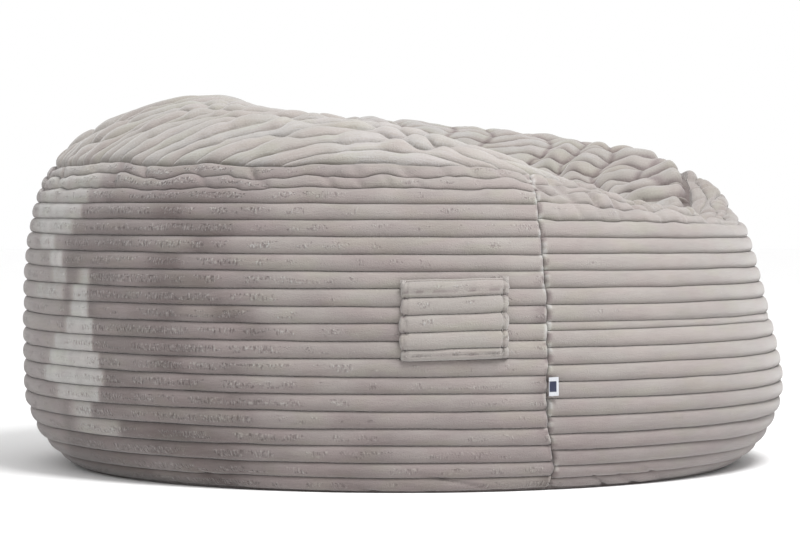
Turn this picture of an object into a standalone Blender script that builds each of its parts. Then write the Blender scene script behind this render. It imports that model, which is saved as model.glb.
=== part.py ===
"""A low, wide bean bag chair: a ribbed plush cover with a domed back, a sunken seat and a patch
pocket, zipped at the base over an inner liner, which holds the bead filling and has a zip of its own.

Metres, +Z up. The chair faces +X and its pocket is on the sitter's right, at -Y. The origin is on
the floor, under the middle of the chair.
"""

import math
from collections import namedtuple

import bmesh
import bpy
from mathutils import Matrix, Vector

# The body's plan is an ellipse: its widest ring, and the smaller ring that it stands on.
HALF_LENGTH = 0.65
HALF_WIDTH = 0.60
BASE_HALF_LENGTH = 0.555
BASE_HALF_WIDTH = 0.59
BULGE_Z = 0.15
CORNER_FULLNESS = 1.4
CENTRE_Y = 0.008  # the body sits this far over, so that body and pocket together are centred

# The rim is where the side wall meets the top. One row for each 45 degrees, from the front and
# round by the sitter's left: the rim's share of the plan, its height, how late the wall leans in,
# and the crest's place between the seat's middle (0) and the rim (1) with its height.
RIM = (
    (0.905, 0.408, 1.1, 0.93, 0.422),
    (0.915, 0.514, 1.8, 0.90, 0.542),
    (0.925, 0.512, 3.0, 0.78, 0.592),
    (0.925, 0.514, 4.0, 0.68, 0.606),
    (0.920, 0.515, 4.5, 0.60, 0.622),
    (0.925, 0.508, 4.0, 0.68, 0.602),
    (0.925, 0.503, 3.0, 0.78, 0.554),
    (0.905, 0.425, 1.8, 0.92, 0.442),
)
SHARE, HEIGHT, LEAN, CREST, CREST_Z = range(5)
RIM_FULLNESS = 2.2
SEAT_X = 0.10
SEAT_Z = 0.30

# Cloth thicknesses, and how far each layer lies inside the cover's outer face.
COVER_THICK = 0.006
LINER_THICK = 0.0015
LINER_INSET = 0.009
LINER_DROP = 0.019
LINER_SEAM_DROP = 0.028
LINER_FLOOR = 0.011
LINER_FOOT = 0.0115
BEADS_INSET = 0.015
BEADS_DROP = 0.032
BEADS_FLOOR = 0.016

STEP_DEG = 5
WALL_ROWS = 9
SIDE_SEAM_DEG = 70
SEAM_GAP = 0.006
BASE_SEAM_GAP = 0.012
THREAD_RADIUS = 0.0008
RIM_SEAM_DROP = 0.012
RIM_THREAD_DROP = 0.0085
BASE_THREAD_Z = 0.003
FLOOR_CLEAR = 0.0006

BASE_THICK = 0.008
ZIP_CHANNEL = 0.034

POCKET_X = 0.0765
POCKET_Z = 0.2645
POCKET_WIDTH = 0.163
POCKET_HEIGHT = 0.125
POCKET_TILT = 0.03
POCKET_MOUTH = 0.021
POCKET_FOOT = 0.015
POCKET_CLOTH = 0.004
POCKET_BORDER = 0.005
STITCH_MARGIN = 0.003
STITCH_OUT = 0.0014
TACK_MARGIN = 0.002
TACK_OUT = 0.0025
TACK_RADIUS = 0.002
TOUCH_GAP = 0.0004

LABEL_WIDTH = 0.018
LABEL_HEIGHT = 0.028
LABEL_Z = 0.162
LABEL_FROM_SEAM = 0.0015
LABEL_THICK = 0.001

# Zips run along Y. x and z are the middle of the tapes, and tape_edge is how far they reach in X.
Zip = namedtuple("Zip", "prefix x z length coil_radius coil_gap tape_thick tape_edge slider_wall")
COVER_ZIP = Zip(
    prefix="cover",
    x=0.0,
    z=BASE_THICK / 2,
    length=1.00,
    coil_radius=0.0011,
    coil_gap=0.0016,
    tape_thick=0.0008,
    tape_edge=0.0166,
    slider_wall=0.0009,
)
LINER_ZIP = Zip(
    prefix="liner",
    x=-0.15,
    z=LINER_FLOOR + LINER_THICK / 2,
    length=0.40,
    coil_radius=0.0008,
    coil_gap=0.0014,
    tape_thick=0.0006,
    tape_edge=0.0101,
    slider_wall=0.0007,
)
ZIP_CLEAR = 0.0003
SLIDER_CLEAR = 0.00035
STOP_GAP = 0.0005
TOP_STOP_LENGTH = 0.003
BOTTOM_STOP_LENGTH = 0.004
TAPE_OVERRUN = 0.012
LINER_SLOT_HALF = 0.0105
LINER_BASE_GAP = 0.004


# ---------------------------------------------------------------- the body's outer form


def around(column, angle):
    """A value of RIM at this angle, on a smooth closed curve through its rows."""
    place = (angle / (2 * math.pi)) % 1 * len(RIM)
    row = int(place)
    t = place - row
    a, b, c, d = (RIM[(row + k) % len(RIM)][column] for k in (-1, 0, 1, 2))
    return b + 0.5 * t * (c - a + t * (2 * a - 5 * b + 4 * c - d + t * (3 * (b - c) + d - a)))


def wall_point(angle, z, inset=0.0):
    """A point of the side wall at this height, a little inside it when inset is given."""
    if z < BULGE_Z:
        turn = math.acos(max(-1.0, 1 - z / BULGE_Z))
        out = math.sin(turn) ** CORNER_FULLNESS
        half_x = BASE_HALF_LENGTH + (HALF_LENGTH - BASE_HALF_LENGTH) * out
        half_y = BASE_HALF_WIDTH + (HALF_WIDTH - BASE_HALF_WIDTH) * out
        inset *= 1 + (1 - z / BULGE_Z) ** 2
    else:
        rise = (z - BULGE_Z) / (around(HEIGHT, angle) - BULGE_Z)
        share = 1 - (1 - around(SHARE, angle)) * rise ** around(LEAN, angle)
        half_x = HALF_LENGTH * share
        half_y = HALF_WIDTH * share
    return Vector(
        (
            (half_x - inset) * math.cos(angle),
            (half_y - inset) * math.sin(angle) + CENTRE_Y,
            z,
        )
    )


def top_height(angle, reach, drop=0.0):
    """The top's height from the seat's middle (reach 0) over the crest to the rim (reach 1)."""
    crest, crest_z = around(CREST, angle), around(CREST_Z, angle)
    if reach > crest:
        t = (reach - crest) / (1 - crest)
        z = crest_z + (around(HEIGHT, angle) - crest_z) * t**RIM_FULLNESS
    else:
        t = reach / crest
        z = SEAT_Z + (crest_z - SEAT_Z) * t * t * (3 - 2 * t)
    return z - drop


def top_point(angle, reach, inset=0.0, drop=0.0):
    rim = wall_point(angle, around(HEIGHT, angle), inset)
    middle = Vector((SEAT_X, CENTRE_Y, 0))
    flat = middle.lerp(Vector((rim.x, rim.y, 0)), reach)
    return Vector((flat.x, flat.y, top_height(angle, reach, drop)))


def wall_height(v, floor, ceiling):
    """Heights up the wall for v from 0 to 1: closer together round the bottom corner."""
    corner = 0.42
    if v < corner:
        return floor + (BULGE_Z - floor) * (1 - math.cos(v / corner * math.pi / 2))
    return BULGE_Z + (ceiling - BULGE_Z) * (v - corner) / (1 - corner)


def near_wall(x, z, out):
    """The point at this x and z on the pocket's side of the body, moved out along the wall's normal."""

    def surface(px, pz):
        angle = 1.5 * math.pi
        for _ in range(4):
            point = wall_point(angle, pz)
            half_x = HALF_LENGTH if abs(math.cos(angle)) < 1e-6 else point.x / math.cos(angle)
            angle = 1.5 * math.pi + math.asin(px / half_x)
        return wall_point(angle, pz)

    step = 0.002
    across = surface(x + step, z) - surface(x - step, z)
    up = surface(x, z + step) - surface(x, z - step)
    return surface(x, z) + across.cross(up).normalized() * out


# ---------------------------------------------------------------- making objects


def clear_scene():
    for obj in list(bpy.data.objects):
        bpy.data.objects.remove(obj)


def make_collection(name):
    collection = bpy.data.collections.new(name)
    bpy.context.scene.collection.children.link(collection)
    return collection


def make_material(name, colour, roughness, metallic=0.0):
    material = bpy.data.materials.new(name)
    material.use_nodes = True
    shader = material.node_tree.nodes["Principled BSDF"]
    shader.inputs["Base Color"].default_value = (*colour, 1)
    shader.inputs["Roughness"].default_value = roughness
    shader.inputs["Metallic"].default_value = metallic
    material.diffuse_color = (*colour, 1)
    return material


def add_object(name, data, material, collection=None):
    obj = bpy.data.objects.new(name, data)
    (collection or PARTS).objects.link(obj)
    data.materials.append(material)
    if obj.type == "MESH":
        data.shade_smooth()
        data.set_sharp_from_angle(angle=math.radians(40))
    return obj


def mesh_from(name, build):
    """A mesh made in bmesh by the function build."""
    bm = bmesh.new()
    build(bm)
    mesh = bpy.data.meshes.new(name)
    bm.to_mesh(mesh)
    bm.free()
    return mesh


def sheet_object(name, columns, rows, place, thick, material):
    """Cloth: a grid moved to place(u, v), u and v from -1 to 1, thickened away from its outer face."""

    def build(bm):
        bmesh.ops.create_grid(bm, x_segments=columns, y_segments=rows, size=1)
        for vertex in bm.verts:
            vertex.co = place(vertex.co.x, vertex.co.y)
        bmesh.ops.remove_doubles(bm, verts=bm.verts, dist=1e-5)

    obj = add_object(name, mesh_from(name, build), material)
    solidify = obj.modifiers.new("Thickness", "SOLIDIFY")
    solidify.thickness = thick
    solidify.offset = -1
    solidify.use_even_offset = True
    return obj


def block_mesh(name, cuts, place):
    """A cube cut into cuts[0] x cuts[1] x 1 cells, its points moved to place(u, v, w), -1 to 1 each."""

    def build(bm):
        bmesh.ops.create_cube(bm, size=2)
        for axis, count in enumerate(cuts):
            edges = [
                edge
                for edge in bm.edges
                if abs(edge.verts[0].co[axis] - edge.verts[1].co[axis]) > 1
            ]
            bmesh.ops.subdivide_edges(bm, edges=edges, cuts=count - 1, use_grid_fill=True)
        for vertex in bm.verts:
            vertex.co = place(*vertex.co)

    return mesh_from(name, build)


def box_object(name, low, high, material, collection=None, origin=(0, 0, 0)):
    """A plain box between two corners, with its object's origin at a given point."""
    low, high, origin = Vector(low), Vector(high), Vector(origin)
    size = high - low

    def build(bm):
        matrix = Matrix.Translation((low + high) / 2 - origin) @ Matrix.Diagonal((*size, 1))
        bmesh.ops.create_cube(bm, size=1, matrix=matrix)

    obj = add_object(name, mesh_from(name, build), material, collection)
    obj.location = origin
    return obj


def cord_object(name, points, radius, material, cyclic=False, bevel_resolution=1):
    """A thread, coil or wire through these points."""
    curve = bpy.data.curves.new(name, "CURVE")
    curve.dimensions = "3D"
    curve.bevel_depth = radius
    curve.bevel_resolution = bevel_resolution
    curve.use_fill_caps = not cyclic
    spline = curve.splines.new("POLY")
    spline.points.add(len(points) - 1)
    for target, point in zip(spline.points, points):
        target.co = (*point, 1)
    spline.use_cyclic_u = cyclic
    return add_object(name, curve, material)


def outline_object(name, outlines, thick, z, material):
    """A flat piece cut to 2D outlines, holes among them, lying between z and z + thick."""
    curve = bpy.data.curves.new(name, "CURVE")
    curve.dimensions = "2D"
    curve.fill_mode = "BOTH"
    curve.extrude = thick / 2
    for outline in outlines:
        spline = curve.splines.new("POLY")
        spline.points.add(len(outline) - 1)
        for target, (x, y) in zip(spline.points, outline):
            target.co = (x, y, 0, 1)
        spline.use_cyclic_u = True
    obj = add_object(name, curve, material)
    obj.location.z = z + thick / 2
    return obj


def cut(obj, cutter, operation="DIFFERENCE"):
    cutter.hide_render = True
    cutter.display_type = "WIRE"
    boolean = obj.modifiers.new(cutter.name, "BOOLEAN")
    boolean.object = cutter
    boolean.operation = operation
    boolean.solver = "EXACT"


# ---------------------------------------------------------------- cover


def make_side_panel(name, middle_deg, half_deg):
    """One of the two wall panels that meet at the upright side seams."""
    half_gap = math.degrees(SEAM_GAP / 2 / HALF_WIDTH)

    def place(u, v):
        angle = math.radians(middle_deg + u * (half_deg - half_gap))
        ceiling = around(HEIGHT, angle) - RIM_SEAM_DROP
        return wall_point(angle, wall_height((v + 1) / 2, FLOOR_CLEAR, ceiling))

    columns = 2 * half_deg // STEP_DEG
    sheet_object(name, columns, WALL_ROWS, place, COVER_THICK, PLUSH)


def disc_place(inset, drop, share):
    """Maps a square grid onto the round top, with the outer points STEP_DEG apart."""

    def place(u, v):
        side_u = math.sqrt(2) * math.sin(u * math.pi / 4)
        side_v = math.sqrt(2) * math.sin(v * math.pi / 4)
        x = side_u * math.sqrt(1 - side_v * side_v / 2)
        y = side_v * math.sqrt(1 - side_u * side_u / 2)
        return top_point(math.atan2(y, x), share * math.hypot(x, y), inset, drop)

    return place


def make_top_panel():
    cells = 90 // STEP_DEG
    sheet_object("cover_top_panel", cells, cells, disc_place(0, 0, 1), COVER_THICK, PLUSH)


def ring(half_x, half_y, first_deg=0, last_deg=360):
    """Points STEP_DEG apart on an ellipse round the chair's middle."""
    steps = range(first_deg, last_deg, STEP_DEG)
    return [
        (half_x * math.cos(math.radians(d)), half_y * math.sin(math.radians(d)) + CENTRE_Y)
        for d in steps
    ]


def make_base_panels():
    """Two D-shaped halves of tough base cloth, apart by the zip's channel and met beyond its ends."""
    half_x, half_y = BASE_HALF_LENGTH - BASE_SEAM_GAP, BASE_HALF_WIDTH - BASE_SEAM_GAP
    zip_reach = COVER_ZIP.length / 2 + TAPE_OVERRUN + STOP_GAP
    for name, side in (("cover_base_front_panel", 1), ("cover_base_rear_panel", -1)):
        edge, met = side * ZIP_CHANNEL / 2, side * STOP_GAP
        reach = half_y * math.sqrt(1 - (met / half_x) ** 2)
        middle = 0 if side > 0 else 180
        arc = ring(half_x, half_y, middle - 85, middle + 90)
        last, first = side * zip_reach, -side * zip_reach
        channel = [(met, last), (edge, last), (edge, first), (met, first)]
        ends = [(met, -side * reach), (met, side * reach)]
        outline = [ends[0], *((x, y - CENTRE_Y) for x, y in arc), ends[1], *channel]
        outline = [(x, y + CENTRE_Y) for x, y in outline]
        outline_object(name, [outline], BASE_THICK, 0, BASE_CLOTH)


def make_seams():
    """The thread of the upright side seams, the rim seam and the base seam."""
    inside = COVER_THICK / 2
    for name, side in (("side_seam_thread_left", 1), ("side_seam_thread_right", -1)):
        angle = math.radians(side * SIDE_SEAM_DEG)
        ceiling = around(HEIGHT, angle) - RIM_SEAM_DROP - 5 * THREAD_RADIUS
        heights = [wall_height(k / 14, BASE_THICK * 3 / 4, ceiling) for k in range(15)]
        points = [wall_point(angle, z, inside) for z in heights]
        cord_object(name, points, THREAD_RADIUS, THREAD)

    rim = []
    for degrees in range(0, 360, STEP_DEG):
        angle = math.radians(degrees)
        z = around(HEIGHT, angle) - RIM_THREAD_DROP
        point = wall_point(angle, z)
        rim.append((point.x, point.y, z))
    cord_object("rim_seam_thread", rim, THREAD_RADIUS, THREAD, cyclic=True)

    within = 0.8 * BASE_SEAM_GAP
    base = ring(BASE_HALF_LENGTH - within, BASE_HALF_WIDTH - within)
    points = [(x, y, BASE_THREAD_Z) for x, y in base]
    cord_object("base_seam_thread", points, THREAD_RADIUS, THREAD, cyclic=True)


# ---------------------------------------------------------------- pocket and label


def pocket_point(u, v, out, half_width, half_height):
    """A point over the pocket's patch; u runs to the front, v up, and the patch rises with u."""
    x = POCKET_X + u * half_width
    z = POCKET_Z + v * half_height + POCKET_TILT * u * half_width
    return near_wall(x, z, out)


def make_pocket():
    """A patch pocket: sewn down at its sides and foot, open at the top, and slack at the mouth."""
    half_w, half_h = POCKET_WIDTH / 2, POCKET_HEIGHT / 2

    def outside(v):
        return POCKET_FOOT + (POCKET_MOUTH - POCKET_FOOT) * (v + 1) / 2

    def body(u, v, w):
        out = TOUCH_GAP if w < 0 else outside(v)
        return pocket_point(u, v, out, half_w, half_h)

    def hollow(u, v, w):
        out = -POCKET_CLOTH if w < 0 else outside(v) - POCKET_CLOTH
        reach = half_h if v > 0 else half_h - POCKET_BORDER
        if v > 0.99:
            reach = half_h + POCKET_BORDER
        return pocket_point(u, v, out, half_w - POCKET_BORDER, reach)

    pocket = add_object("side_pocket", block_mesh("side_pocket", (10, 6), body), PLUSH)
    cutter = add_object("pocket_hollow", block_mesh("pocket_hollow", (10, 6), hollow), PLUSH, GUIDES)
    cut(pocket, cutter)


def make_pocket_stitching():
    """The thread round the pocket's sides and foot, and a bar tack at each end of its mouth."""
    half_w = POCKET_WIDTH / 2 + STITCH_MARGIN
    half_h = POCKET_HEIGHT / 2 + STITCH_MARGIN
    path = [(-1, 1 - k / 4) for k in range(8)]
    path += [(-1 + k / 6, -1) for k in range(12)]
    path += [(1, -1 + k / 4) for k in range(9)]
    points = [pocket_point(u, v, STITCH_OUT, half_w, half_h) for u, v in path]
    cord_object("pocket_stitching", points, THREAD_RADIUS, THREAD)

    for name, side in (("pocket_bar_tack_rear", -1), ("pocket_bar_tack_front", 1)):
        reach_w = POCKET_WIDTH / 2 + TACK_MARGIN
        points = [
            pocket_point(side, v, TACK_OUT, reach_w, POCKET_HEIGHT / 2)
            for v in (1.06, 1.10, 1.16, 1.22)
        ]
        cord_object(name, points, TACK_RADIUS, THREAD)


def make_label():
    """A small plain woven tag on the wall, just in front of the right side seam."""
    seam = wall_point(math.radians(-SIDE_SEAM_DEG), LABEL_Z)
    low_x = seam.x + LABEL_FROM_SEAM

    def place(u, v, w):
        x = low_x + (u + 1) / 2 * LABEL_WIDTH
        out = TOUCH_GAP + (w + 1) / 2 * LABEL_THICK
        return near_wall(x, LABEL_Z + v * LABEL_HEIGHT / 2, out)

    add_object("woven_label", block_mesh("woven_label", (2, 2), place), LABEL)


# ---------------------------------------------------------------- zips


def make_zip(zip_):
    """Two tapes, two coils, stops and a slider at the zip's closed, +Y end."""
    x, z, half, radius = zip_.x, zip_.z, zip_.length / 2, zip_.coil_radius
    coil_x = zip_.coil_gap / 2 + radius
    coil_edge = coil_x + radius
    for side_name, side in (("rear", -1), ("front", 1)):
        ends = sorted((x + side * (coil_edge + ZIP_CLEAR), x + side * zip_.tape_edge))
        low = (ends[0], CENTRE_Y - half - TAPE_OVERRUN, z - zip_.tape_thick / 2)
        high = (ends[1], CENTRE_Y + half + TAPE_OVERRUN, z + zip_.tape_thick / 2)
        box_object(f"{zip_.prefix}_zip_tape_{side_name}", low, high, ZIP_TAPE)
        points = [(x + side * coil_x, CENTRE_Y + y, z) for y in (-half, 0, half)]
        cord_object(f"{zip_.prefix}_zip_coil_{side_name}", points, radius, ZIP_COIL)
        ends = sorted((x + side * zip_.coil_gap / 2, x + side * coil_edge))
        start = CENTRE_Y + half + STOP_GAP
        low = (ends[0], start, z - radius)
        high = (ends[1], start + TOP_STOP_LENGTH, z + radius)
        box_object(f"{zip_.prefix}_zip_top_stop_{side_name}", low, high, METAL)
    end = CENTRE_Y - half - STOP_GAP
    low = (x - coil_edge, end - BOTTOM_STOP_LENGTH, z - radius)
    high = (x + coil_edge, end, z + radius)
    box_object(f"{zip_.prefix}_zip_bottom_stop", low, high, METAL)
    make_slider(zip_)


def make_slider(zip_):
    """Two plates joined by a post between the coils, with lips over the tapes and no pull tab."""
    wall, radius = zip_.slider_wall, zip_.coil_radius
    length = 12 * radius
    origin = Vector((zip_.x, CENTRE_Y + zip_.length / 2 - length / 2 - 4 * STOP_GAP, zip_.z))
    inner = radius + SLIDER_CLEAR
    wide = zip_.coil_gap / 2 + 2 * radius + SLIDER_CLEAR + wall
    lip = zip_.tape_thick / 2 + SLIDER_CLEAR
    post = zip_.coil_gap / 2 - ZIP_CLEAR
    shapes = [
        ("upper_plate", (-wide, -length / 2, inner), (wide, length / 2, inner + wall)),
        ("lower_plate", (-wide, -length / 2, -inner - wall), (wide, length / 2, -inner)),
        ("post", (-post, 0.1 * length, -inner - wall / 2), (post, 0.4 * length, inner + wall / 2)),
        ("bridge", (-wall, -0.3 * length, -inner - 2 * wall), (wall, 0.3 * length, -inner - wall / 2)),
    ]
    for side in (-1, 1):
        for level in (-1, 1):
            across = sorted((side * (wide - wall), side * wide))
            tall = sorted((level * lip, level * (inner + wall / 2)))
            low = (across[0], -length / 2, tall[0])
            high = (across[1], length / 2, tall[1])
            shapes.append((f"lip_{side}_{level}", low, high))
    slider = None
    for shape, low, high in shapes:
        low, high = Vector(low) + origin, Vector(high) + origin
        if slider is None:
            slider = box_object(f"{zip_.prefix}_zip_slider", low, high, METAL, None, origin)
        else:
            cutter = box_object(f"{zip_.prefix}_{shape}", low, high, METAL, GUIDES, origin)
            cut(slider, cutter, "UNION")


# ---------------------------------------------------------------- liner and filling


def make_liner():
    """The plain inner bag: a round wall, a top and a base with a slot for its zip."""

    def wall_place(u, v):
        angle = math.radians(u * 180)
        ceiling = around(HEIGHT, angle) - LINER_SEAM_DROP
        z = wall_height((v + 1) / 2, LINER_FOOT, ceiling)
        return wall_point(angle, z, LINER_INSET)

    sheet_object("liner_side_panel", 360 // STEP_DEG, WALL_ROWS, wall_place, LINER_THICK, LINER_CLOTH)

    cells = 90 // STEP_DEG
    place = disc_place(LINER_INSET, LINER_DROP, 0.99)
    sheet_object("liner_top_panel", cells, cells, place, LINER_THICK, LINER_CLOTH)

    edge = wall_point(0, LINER_FLOOR, LINER_INSET).x - LINER_BASE_GAP
    side = wall_point(math.pi / 2, LINER_FLOOR, LINER_INSET).y - CENTRE_Y - LINER_BASE_GAP
    half = LINER_ZIP.length / 2 + TAPE_OVERRUN + STOP_GAP
    slot = [
        (LINER_ZIP.x + dx * LINER_SLOT_HALF, CENTRE_Y + dy * half)
        for dx, dy in ((-1, -1), (1, -1), (1, 1), (-1, 1))
    ]
    outlines = [ring(edge, side), slot]
    outline_object("liner_base_panel", outlines, LINER_THICK, LINER_FLOOR, LINER_CLOTH)


def make_filling():
    """The beads as one closed body with a flat foot, from a sphere's rings."""
    segments, rings = 48, WALL_ROWS + 15

    def build(bm):
        bmesh.ops.create_uvsphere(bm, u_segments=segments, v_segments=rings, radius=1)
        for vertex in bm.verts:
            x, y, z = vertex.co
            angle = math.atan2(y, x)
            row = round((math.asin(max(-1, min(1, z))) / math.pi + 0.5) * rings)
            ceiling = around(HEIGHT, angle) - BEADS_DROP
            if row == 0:
                vertex.co = (0, CENTRE_Y, BEADS_FLOOR)
            elif row <= WALL_ROWS:
                height = wall_height((row - 1) / WALL_ROWS, BEADS_FLOOR, ceiling)
                vertex.co = wall_point(angle, height, BEADS_INSET)
            else:
                reach = (rings - row) / (rings - WALL_ROWS - 1)
                vertex.co = top_point(angle, reach * 0.985, BEADS_INSET, BEADS_DROP)

    add_object("bead_filling", mesh_from("bead_filling", build), BEADS)


clear_scene()
PARTS = make_collection("bean_bag_chair")
GUIDES = make_collection("cutters")
GUIDES.hide_render = True

PLUSH = make_material("ribbed_plush", (0.40, 0.37, 0.35), 0.95)
BASE_CLOTH = make_material("base_cloth", (0.06, 0.06, 0.06), 0.85)
LINER_CLOTH = make_material("liner_cloth", (0.80, 0.80, 0.78), 0.80)
THREAD = make_material("sewing_thread", (0.30, 0.28, 0.26), 0.70)
LABEL = make_material("woven_label", (0.03, 0.05, 0.12), 0.60)
ZIP_TAPE = make_material("zip_tape", (0.05, 0.05, 0.05), 0.80)
ZIP_COIL = make_material("zip_coil", (0.04, 0.04, 0.04), 0.40)
METAL = make_material("zip_metal", (0.45, 0.45, 0.46), 0.35, 1.0)
BEADS = make_material("foam_beads", (0.90, 0.90, 0.88), 0.70)

make_side_panel("cover_back_side_panel", 180, 180 - SIDE_SEAM_DEG)
make_side_panel("cover_front_side_panel", 0, SIDE_SEAM_DEG)
make_top_panel()
make_base_panels()
make_seams()
make_pocket()
make_pocket_stitching()
make_label()
make_zip(COVER_ZIP)
make_zip(LINER_ZIP)
make_liner()
make_filling()
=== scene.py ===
"""The looks of the bean bag chair: ribbed plush skin, pocket, label, stitching and materials.

Metres, in the frame's own axes: +X is the chair's front, -Y the pocket's side, +Z up.
"""

import math

import bpy
import numpy as np
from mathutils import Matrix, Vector


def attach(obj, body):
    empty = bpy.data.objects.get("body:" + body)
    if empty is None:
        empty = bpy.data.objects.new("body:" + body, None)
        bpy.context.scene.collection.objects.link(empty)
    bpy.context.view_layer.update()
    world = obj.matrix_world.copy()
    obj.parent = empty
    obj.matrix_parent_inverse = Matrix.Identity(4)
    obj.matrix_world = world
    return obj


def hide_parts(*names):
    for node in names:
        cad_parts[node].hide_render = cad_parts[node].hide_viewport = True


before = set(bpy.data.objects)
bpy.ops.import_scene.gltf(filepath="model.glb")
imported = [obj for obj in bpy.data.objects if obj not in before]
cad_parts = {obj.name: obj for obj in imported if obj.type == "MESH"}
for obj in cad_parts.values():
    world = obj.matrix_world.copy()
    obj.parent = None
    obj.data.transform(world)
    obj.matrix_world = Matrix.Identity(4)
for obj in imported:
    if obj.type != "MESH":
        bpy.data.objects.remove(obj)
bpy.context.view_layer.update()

# ---- the body's form, as in the CAD

HALF_LENGTH = 0.65
HALF_WIDTH = 0.60
BASE_HALF_LENGTH = 0.555
BASE_HALF_WIDTH = 0.59
BULGE_Z = 0.15
CORNER_FULLNESS = 1.4
CENTRE_Y = 0.008

# One row for each 45 degrees from the front: the rim's share of the plan, its height, how late the
# wall leans in, the crest's place from the seat's middle (0) to the rim (1), and its height.
RIM = np.array(
    [
        (0.905, 0.408, 1.1, 0.93, 0.422),
        (0.915, 0.514, 1.8, 0.90, 0.542),
        (0.925, 0.512, 3.0, 0.78, 0.592),
        (0.925, 0.514, 4.0, 0.68, 0.606),
        (0.920, 0.515, 4.5, 0.60, 0.622),
        (0.925, 0.508, 4.0, 0.68, 0.602),
        (0.925, 0.503, 3.0, 0.78, 0.554),
        (0.905, 0.425, 1.8, 0.92, 0.442),
    ]
)
RIM_FULLNESS = 2.2
SEAT_X = 0.10
SEAT_Z = 0.30
SIDE_SEAM_DEG = 70

# ---- the cloth

RIB_PITCH = 0.0266
SEAM_RUN = 0.516  # how far up the cloth the side panels reach, from the floor
RIB_ROWS = 10  # rows of points across each rib of the walls and the pocket
TOP_RIBS = 48
TOP_RIB_ROWS = 9
GROOVE_DEPTH = 0.0048
RIB_HEIGHT = 0.0085
SEAM_DEPTH = 0.0085
SIDE_SEAM_DEPTH = 0.0062
LINER_DROP = 0.019
LINER_MARGIN = 0.0070  # about how far its flat facets stand proud of that where the seat is hollow

# The front panel's top stands up in a hump where the rim turns from the front to the side.
HUMP = 0.015
HUMP_ANGLE = math.radians(23)
HUMP_SPREAD = math.radians(9)

TURNS = 720  # lines over the skin, one each half degree
STATIONS = 420  # points along each line, from the floor to the seat's middle
FOOT_STATIONS = 140  # enough of them to reach up past the bulge
ROUNDING = 0.017  # spread of the smoothing that rounds off the rim's creases
NOISE_CELLS = 128

FLOOR_Z = 0.0009
FOOT_MARGIN = 0.024  # how far the side panels turn under the body


def ease(t):
    t = np.clip(t, 0, 1)
    return t * t * (3 - 2 * t)


def quarter_round(t):
    """A quarter circle's height, from 0 at t = 0 to 1 at t = 1 and beyond."""
    return np.sqrt(np.clip(1 - (1 - np.clip(t, 0, 1)) ** 2, 0, 1))


def bell(t):
    """A hump of height 1 at t = 0, with hardly anything left at t = 2."""
    return np.exp(-(t**2))


def noise(u, v, seed, period=NOISE_CELLS):
    """Smooth random values from -1 to 1: one at each whole-numbered place, eased between them.
    They repeat in u after each period."""
    table = np.random.default_rng(seed).uniform(-1, 1, (NOISE_CELLS, NOISE_CELLS))
    u, v = np.broadcast_arrays(np.asarray(u, float), np.asarray(v, float))
    iu, iv = np.floor(u).astype(int), np.floor(v).astype(int)
    fu, fv = ease(u - iu), ease(v - iv)
    near_u, far_u = iu % period, (iu + 1) % period
    near_v, far_v = iv % NOISE_CELLS, (iv + 1) % NOISE_CELLS
    a, b = table[near_u, near_v], table[far_u, near_v]
    c, d = table[near_u, far_v], table[far_u, far_v]
    return (a * (1 - fu) + b * fu) * (1 - fv) + (c * (1 - fu) + d * fu) * fv


def seam_run(angle):
    """How far up the cloth the rim seam lies at these angles: it wanders a few millimetres."""
    turn = (angle / (2 * math.pi)) % 1
    wander = 0.0080 * noise(turn * 38, 0.5, 5, 38) + 0.0042 * noise(turn * 101, 0.5, 6, 101)
    return SEAM_RUN + wander


def rim_values(angle):
    """RIM's five values at these angles, on a smooth closed curve through its rows."""
    place = (angle / (2 * math.pi)) % 1 * len(RIM)
    row = np.floor(place).astype(int)
    t = (place - row)[:, None]
    a, b, c, d = (RIM[(row + k) % len(RIM)] for k in (-1, 0, 1, 2))
    return b + 0.5 * t * (c - a + t * (2 * a - 5 * b + 4 * c - d + t * (3 * (b - c) + d - a)))


def raw_meridians(angle):
    """For each angle, a line of points from the floor up the wall and over the top to the seat."""
    share, height, lean, crest, crest_z = (c[:, None] for c in rim_values(angle).T)
    cos, sin = np.cos(angle)[:, None], np.sin(angle)[:, None]

    low = BULGE_Z * (1 - np.cos(np.linspace(0, math.pi / 2, 60)[None, :-1]))
    out = np.sin(np.arccos(1 - low / BULGE_Z)) ** CORNER_FULLNESS
    foot_x = (BASE_HALF_LENGTH + (HALF_LENGTH - BASE_HALF_LENGTH) * out) * cos
    foot_y = (BASE_HALF_WIDTH + (HALF_WIDTH - BASE_HALF_WIDTH) * out) * sin
    foot_z = np.broadcast_to(low, foot_x.shape)

    rise = np.linspace(0, 1, 90)[None, :]
    lean_in = 1 - (1 - share) * rise**lean
    wall_x, wall_y = HALF_LENGTH * lean_in * cos, HALF_WIDTH * lean_in * sin
    wall_z = BULGE_Z + (height - BULGE_Z) * rise

    reach = np.linspace(1, 0, 160)[None, 1:]
    top_x = SEAT_X + (HALF_LENGTH * share * cos - SEAT_X) * reach
    top_y = HALF_WIDTH * share * sin * reach
    over = np.clip((reach - crest) / (1 - crest), 0, 1)
    under = np.clip(reach / crest, 0, 1)
    outer = crest_z + (height - crest_z) * over**RIM_FULLNESS
    inner = SEAT_Z + (crest_z - SEAT_Z) * ease(under)
    top_z = np.where(reach > crest, outer, inner)

    x = np.concatenate([foot_x, wall_x, top_x], 1)
    y = np.concatenate([foot_y, wall_y, top_y], 1) + CENTRE_Y
    z = np.concatenate([foot_z, wall_z, top_z], 1)
    return np.stack([x, y, z], 2)


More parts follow.
